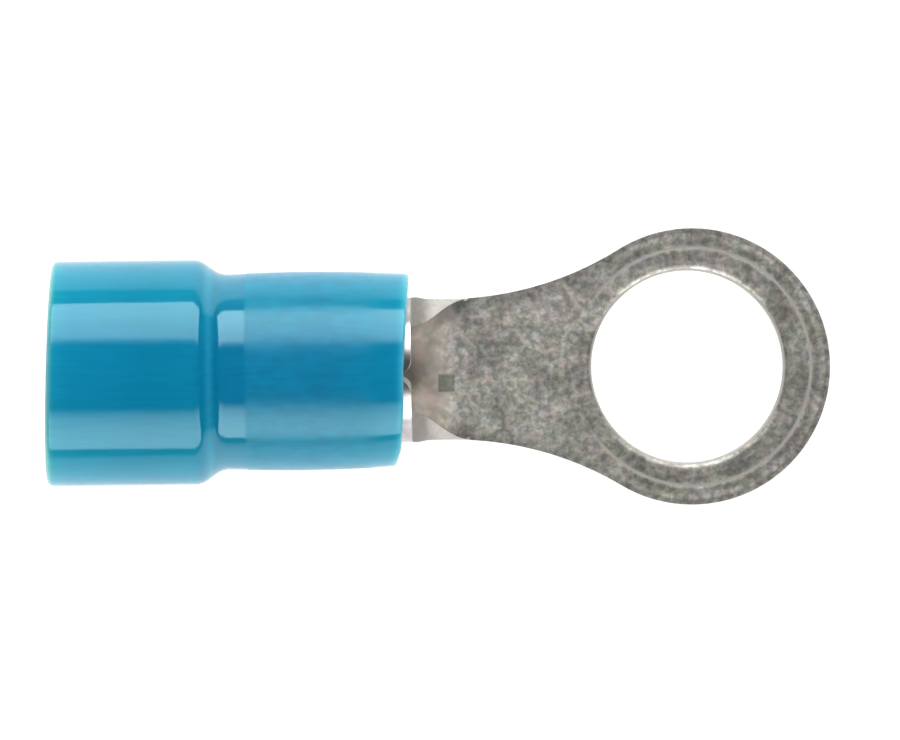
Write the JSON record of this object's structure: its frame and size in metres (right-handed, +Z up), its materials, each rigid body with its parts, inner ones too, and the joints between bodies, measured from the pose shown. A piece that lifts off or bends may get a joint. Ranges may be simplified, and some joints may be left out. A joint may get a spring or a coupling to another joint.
{
  "type": "ring terminal",
  "caption": "Insulated ring terminal: a flat stamped ring and tongue rolled into a wire barrel, under a stepped translucent sleeve.",
  "frame": {"origin": "centre of the stud hole on the underside of the tongue", "axes": "+Z up through the stud hole, +X toward the ring's tip; the barrel and the sleeve lie toward -X"},
  "size_m": [0.0215, 0.0076, 0.0061],
  "materials": {
    "tinned_copper": "matte electro-tinned copper",
    "nylon": "translucent moulded nylon, smooth"
  },
  "bodies": {
    "root": {"terminal": "tinned_copper", "sleeve": "nylon"}
  },
  "joints": []
}
